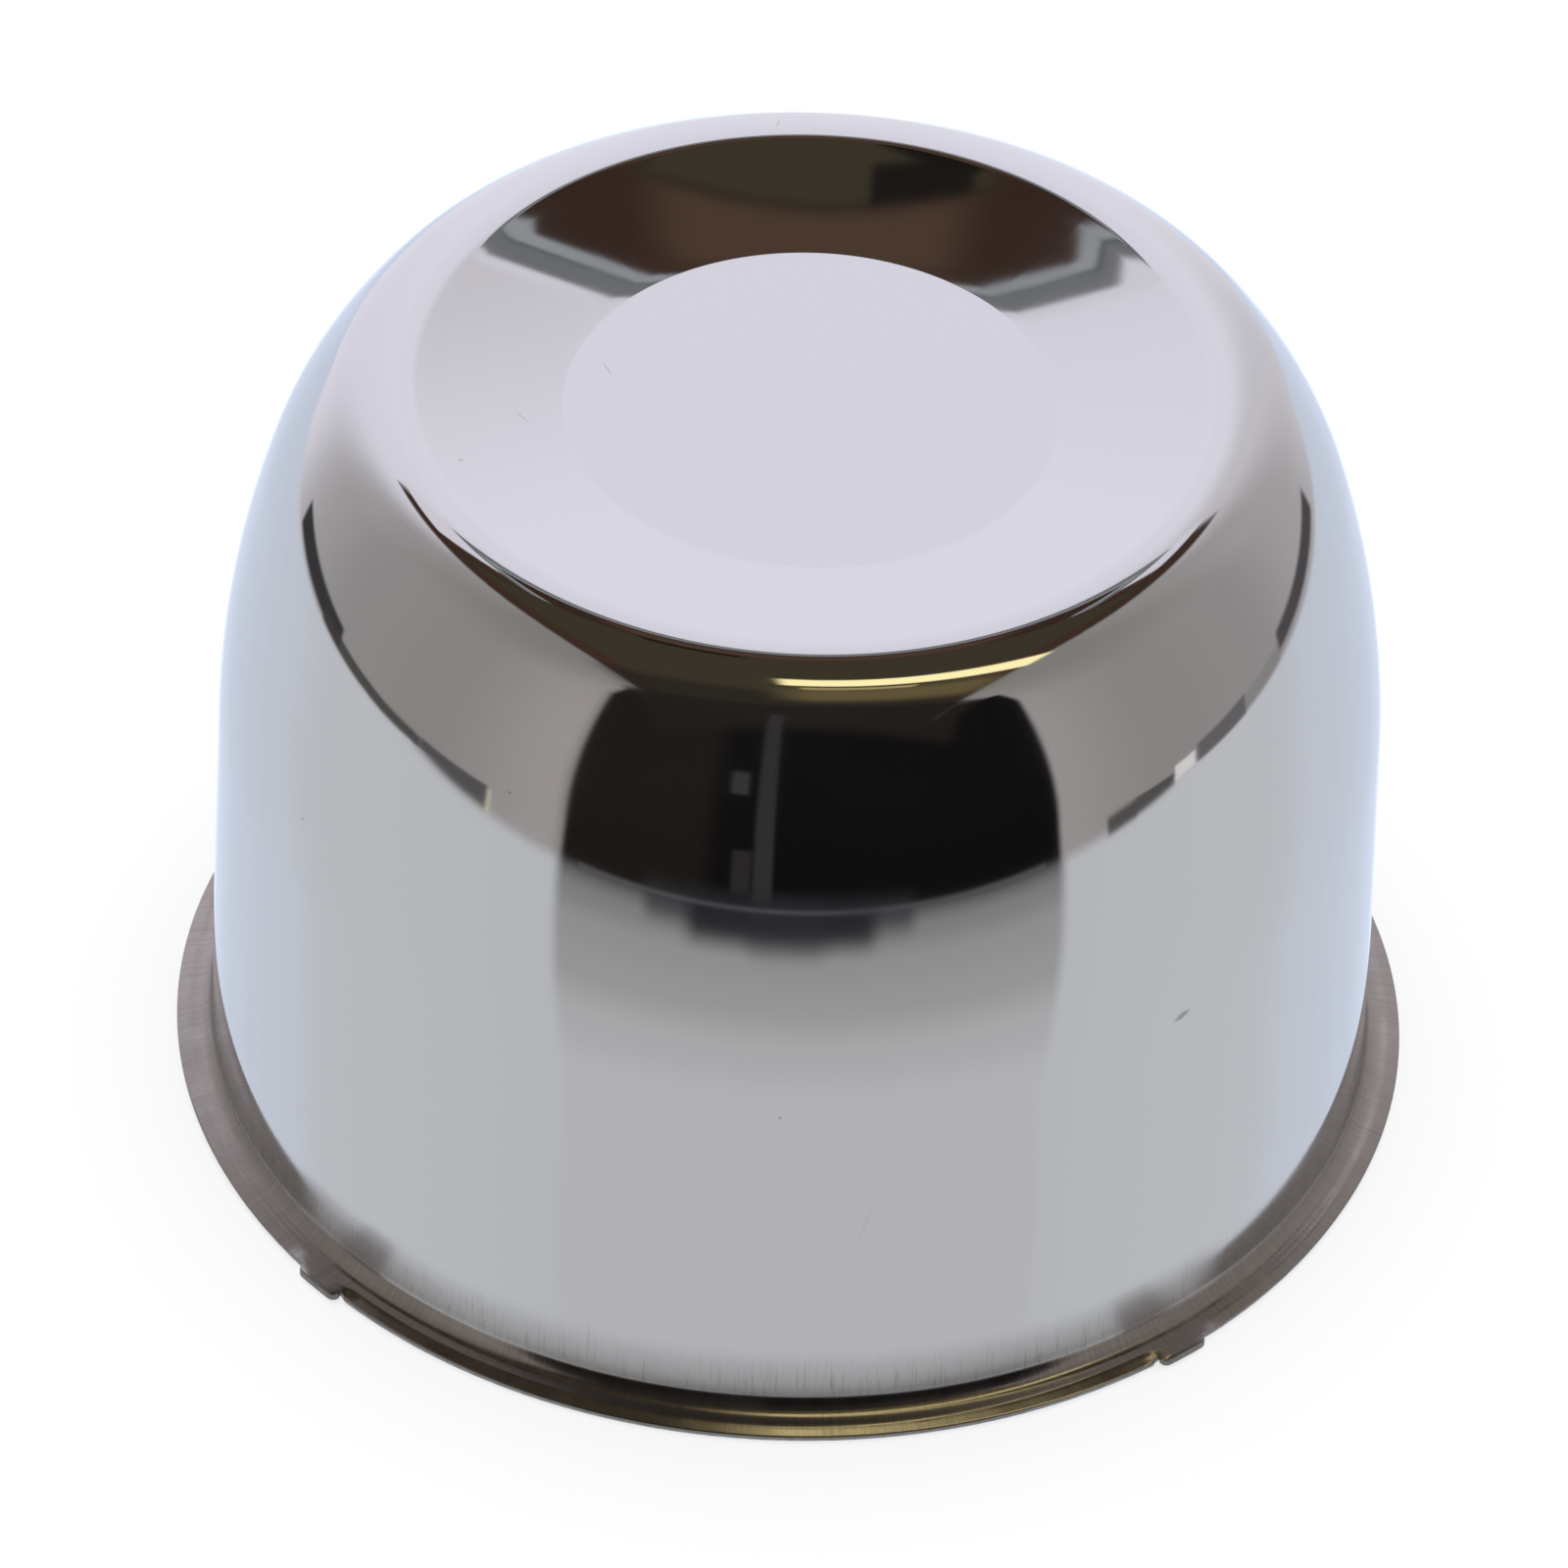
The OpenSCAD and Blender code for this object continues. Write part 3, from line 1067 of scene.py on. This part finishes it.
    def clutter(self) -> list[Patch]:
        """Lists the dark things at the tent's foot, and the shadow along the table's edge.

        Returns:
            The patches, from the furthest back to the nearest.
        """
        return [
            # The shadow along the table's front edge, and the edge's thin light line
            Patch("2e2f32", (-27, 22), (-16.0, -11.5), 3.5, share=0.7),
            Patch("202124", (-19, 15), (-17.6, -11.5), 4.5, share=0.9),
            Patch("2c2d30", (-8, 6), (-19.0, -11.5), 4.5, share=0.4),
            Patch("77777a", (-40, 47), (-13.1, -12.6), 0.4, share=0.3),
            # Stands and weights to the left
            Patch("343234", (-125, -101), (-12.5, -8), 1.2),
            Patch("b5b0a0", (-64, -59), (-13.2, -10.5), 0.8, share=0.8),
            Patch("3c3a38", (-108, -76), (-13, -10.2), 0.8, share=0.9),
            Patch("4d4b4c", (-76, -60), (-13, -10), 1.0),
            # Stands, a white card and weights to the right
            Patch("4a4846", (60, 75), (-13.5, -11.5), 0.8),
            Patch("c9c8c6", (75.5, 81), (-13.5, -10), 0.8),
            Patch("555355", (81.5, 95), (-13.5, -9), 1.0, share=0.85),
            Patch("7b7979", (95, 107), (-13, -9.5), 1.5, share=0.7),
            Patch("474448", (107, 132), (-11.5, -7.5), 1.5),
        ]


@dataclass
class PaleFloor:
    """A plain white floor that keeps the cap's soft shadow and lets a view from below through.

    Attributes:
        half: Half its width.
        drop: How far it lies below the lip's lower edge.
        colour: Its colour, in sRGB hex.
        bright: How much of its white the camera sees whatever falls on it.
    """

    half: float = 6.0
    drop: float = 0.02 * MM
    colour: str = "f4f4f4"
    bright: float = 0.72

    def build(self) -> bpy.types.Object:
        """Builds the floor.

        Returns:
            The floor's object.
        """
        select_none()
        bpy.ops.mesh.primitive_plane_add(size=2 * self.half, location=(0, 0, -self.drop))
        floor = bpy.context.object
        floor.name = "pale_floor"
        bpy.ops.object.transform_apply(location=True, rotation=True, scale=True)
        edit(floor)
        bpy.ops.mesh.inset(thickness=self.half * 0.5)
        bpy.ops.object.mode_set(mode="OBJECT")
        # A matt white laminate table top: it has no gloss, so all that shows on it is the cap's soft shadow
        made = bpy.data.materials.new("white_table")
        made.use_nodes = True
        tree = made.node_tree
        tree.nodes.clear()
        path = add_node(tree, "ShaderNodeLightPath")
        below = add_node(tree, "ShaderNodeNewGeometry").outputs["Backfacing"]
        matt = add_node(tree, "ShaderNodeBsdfDiffuse", Color=linear(self.colour))
        glow = add_node(tree, "ShaderNodeEmission", Color=(1, 1, 1, 1), Strength=1.0)
        share = add_node(
            tree, "ShaderNodeMath", {"operation": "MULTIPLY"},
            i0=path.outputs["Is Camera Ray"], i1=self.bright)
        top = add_node(tree, "ShaderNodeMixShader", i0=share, i1=matt, i2=glow)
        clear = add_node(tree, "ShaderNodeBsdfTransparent")
        both = add_node(tree, "ShaderNodeMixShader", i0=below, i1=top, i2=clear)
        add_node(tree, "ShaderNodeOutputMaterial", i0=both)
        floor.data.materials.append(made)
        floor.visible_glossy = False
        return floor


@dataclass
class SoftLamp:
    """A large soft lamp over the cap, which only shapes its shadow on the floor."""

    size: float = 0.9
    height: float = 1.3
    back: float = 0.1
    watts: float = 9.0

    def build(self) -> bpy.types.Object:
        """Builds the lamp.

        Returns:
            The lamp's object.
        """
        lamp = bpy.data.lights.new("soft_lamp", "AREA")
        lamp.size = self.size
        lamp.energy = self.watts
        thing = bpy.data.objects.new("soft_lamp", lamp)
        thing.location = (0, self.back, self.height)
        thing.visible_glossy = False
        bpy.context.scene.collection.objects.link(thing)
        return thing


@dataclass
class PhotoCamera:
    """The photograph's camera: a long lens that looks down on the cap from the front, slightly rolled."""

    lens: float = 254.1
    sensor_w: float = 36.0
    clip: tuple[float, float] = (0.05, 50.0)
    elevation: float = 41.19
    roll: float = 2.10
    away: float = 1035.5 * MM
    right: float = -1.21 * MM
    up: float = 21.46 * MM

    def build(self) -> bpy.types.Object:
        """Builds the camera and makes it the scene's.

        Returns:
            The camera's object.
        """
        camera = bpy.data.cameras.new("photo_camera")
        camera.lens = self.lens
        camera.sensor_width = self.sensor_w
        camera.clip_start, camera.clip_end = self.clip
        thing = bpy.data.objects.new("photo_camera", camera)
        bpy.context.scene.collection.objects.link(thing)
        ahead = Vector((0, cos(self.elevation), -sin(self.elevation)))
        above = Vector((0, sin(self.elevation), cos(self.elevation)))
        place = Vector((self.right, 0, 0)) + self.up * above - self.away * ahead
        turn = Matrix.Rotation(CAP_TURN, 4, "Z")
        down = Matrix.Rotation(math.radians(90 - self.elevation), 4, "X")
        pose = down @ Matrix.Rotation(math.radians(self.roll), 4, "Z")
        thing.matrix_world = turn @ Matrix.Translation(place) @ pose
        bpy.context.scene.camera = thing
        return thing


def main() -> None:
    """Builds the cap, its surroundings and the camera."""
    logging.basicConfig(level=logging.INFO, format="%(name)s: %(message)s")
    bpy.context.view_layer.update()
    bpy.context.scene.view_settings.view_transform = "Standard"
    cap = CapShell().build()
    log.info("%s: %d faces", cap.name, len(cap.data.polygons))
    PaleFloor().build()
    SoftLamp().build()
    LightTent().build()
    PhotoCamera().build()


if __name__ == "__main__":
    main()
